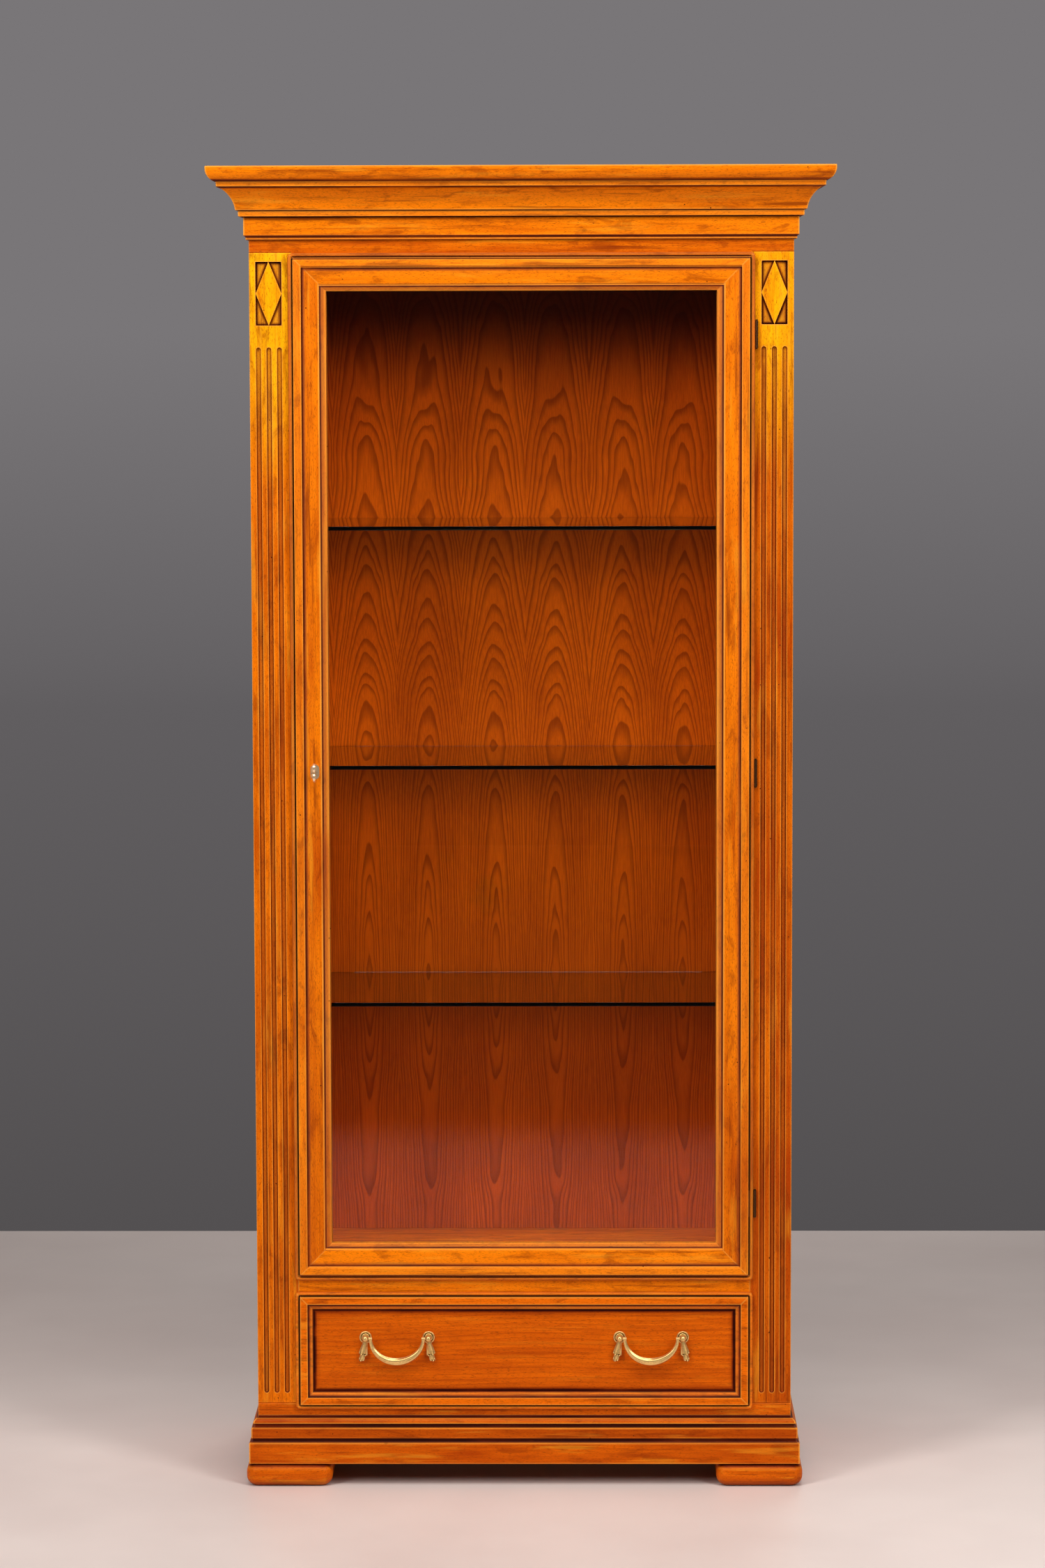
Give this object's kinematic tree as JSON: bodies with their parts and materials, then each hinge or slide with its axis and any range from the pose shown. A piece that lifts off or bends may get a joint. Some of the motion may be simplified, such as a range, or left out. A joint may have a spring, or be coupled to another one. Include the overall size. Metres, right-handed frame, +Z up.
{
  "type": "china cabinet",
  "caption": "Tall cherry display cabinet with a glazed door over glass shelves, a drawer with swag pulls below, fluted pilasters and a stepped cornice.",
  "frame": {"origin": "centre of the overall footprint, on the floor", "axes": "+X to the right seen from the front, +Y towards the wall, +Z up; the door and drawer open towards -Y"},
  "size_m": [0.93, 0.46, 1.9918],
  "materials": {
    "cherry_wood": "amber stained solid cherry, dark glaze in the grooves, satin lacquer",
    "cherry_veneer": "book-matched cherry veneer, satin lacquer",
    "inner_wood": "plain sealed hardwood and plywood",
    "pane_glass": "clear float glass",
    "shelf_glass": "clear float glass with ground green edges",
    "aged_brass": "aged satin brass, darker in the hollows",
    "dark_bronze": "dark bronzed brass",
    "steel": "zinc plated steel"
  },
  "bodies": {
    "carcass": {"side_panel_left": "cherry_veneer", "side_panel_right": "cherry_veneer", "back_panel": "cherry_veneer", "top_board": "cherry_veneer", "cabinet_floor": "cherry_veneer", "bottom_board": "cherry_veneer", "pilaster_left": "cherry_wood", "pilaster_right": "cherry_wood", "lozenge_left": "cherry_wood", "lozenge_right": "cherry_wood", "top_rail": "cherry_wood", "middle_rail": "cherry_wood", "bottom_rail": "cherry_wood", "frieze_front": "cherry_wood", "frieze_left": "cherry_wood", "frieze_right": "cherry_wood", "cornice_front": "cherry_wood", "cornice_left": "cherry_wood", "cornice_right": "cherry_wood", "cornice_top": "cherry_veneer", "plinth_front": "cherry_wood", "plinth_left": "cherry_wood", "plinth_right": "cherry_wood", "plinth_back": "inner_wood", "foot_front_left": "cherry_wood", "foot_front_right": "cherry_wood", "foot_rear_left": "cherry_wood", "foot_rear_right": "cherry_wood", "glass_shelf_lower": "shelf_glass", "glass_shelf_middle": "shelf_glass", "glass_shelf_upper": "shelf_glass", "shelf_pins": "aged_brass", "drawer_runner_left": "inner_wood", "drawer_runner_right": "inner_wood", "hinge_frame_leaves": "dark_bronze", "hinge_pins": "dark_bronze", "strike_plate": "aged_brass", "back_panel_screws": "steel"},
    "door": {"door_stile_left": "cherry_wood", "door_stile_right": "cherry_wood", "door_rail_top": "cherry_wood", "door_rail_bottom": "cherry_wood", "door_glass": "pane_glass", "glazing_beads": "cherry_wood", "hinge_door_leaves": "dark_bronze", "lock_case": "steel", "escutcheon": "aged_brass"},
    "key": {"key": "aged_brass"},
    "bolt": {"lock_bolt": "steel"},
    "drawer": {"drawer_front": "cherry_wood", "drawer_moulding": "cherry_wood", "drawer_side_left": "inner_wood", "drawer_side_right": "inner_wood", "drawer_back": "inner_wood", "drawer_bottom": "inner_wood", "pull_mounts": "aged_brass", "pull_tassels": "aged_brass", "pull_nuts": "steel"},
    "left_bail": {"bail_left": "aged_brass"},
    "right_bail": {"bail_right": "aged_brass"}
  },
  "joints": [
    {"name": "door_swing", "type": "hinge", "parent": "carcass", "child": "door", "pos_m": [0.3495, -0.172, 1.0906], "axis": [0, 0, 1], "range_deg": [0, 105]},
    {"name": "key_turn", "type": "hinge", "parent": "door", "child": "key", "pos_m": [-0.312, -0.17, 1.091], "axis": [0, -1, 0], "range_deg": [0, 180]},
    {"name": "bolt_slide", "type": "slide", "parent": "door", "child": "bolt", "axis": [-1, 0, 0], "range_m": [0, 0.008]},
    {"name": "drawer_slide", "type": "slide", "parent": "carcass", "child": "drawer", "axis": [0, -1, 0], "range_m": [0, 0.27]},
    {"name": "left_bail_swing", "type": "hinge", "parent": "drawer", "child": "left_bail", "pos_m": [-0.193, -0.182, 0.228], "axis": [-1, 0, 0], "range_deg": [0, 85]},
    {"name": "right_bail_swing", "type": "hinge", "parent": "drawer", "child": "right_bail", "pos_m": [0.193, -0.182, 0.228], "axis": [-1, 0, 0], "range_deg": [0, 85]}
  ],
  "couplings": [
    {"joint": "bolt_slide", "follows": "key_turn", "m_per_rad": 0.002546}
  ]
}
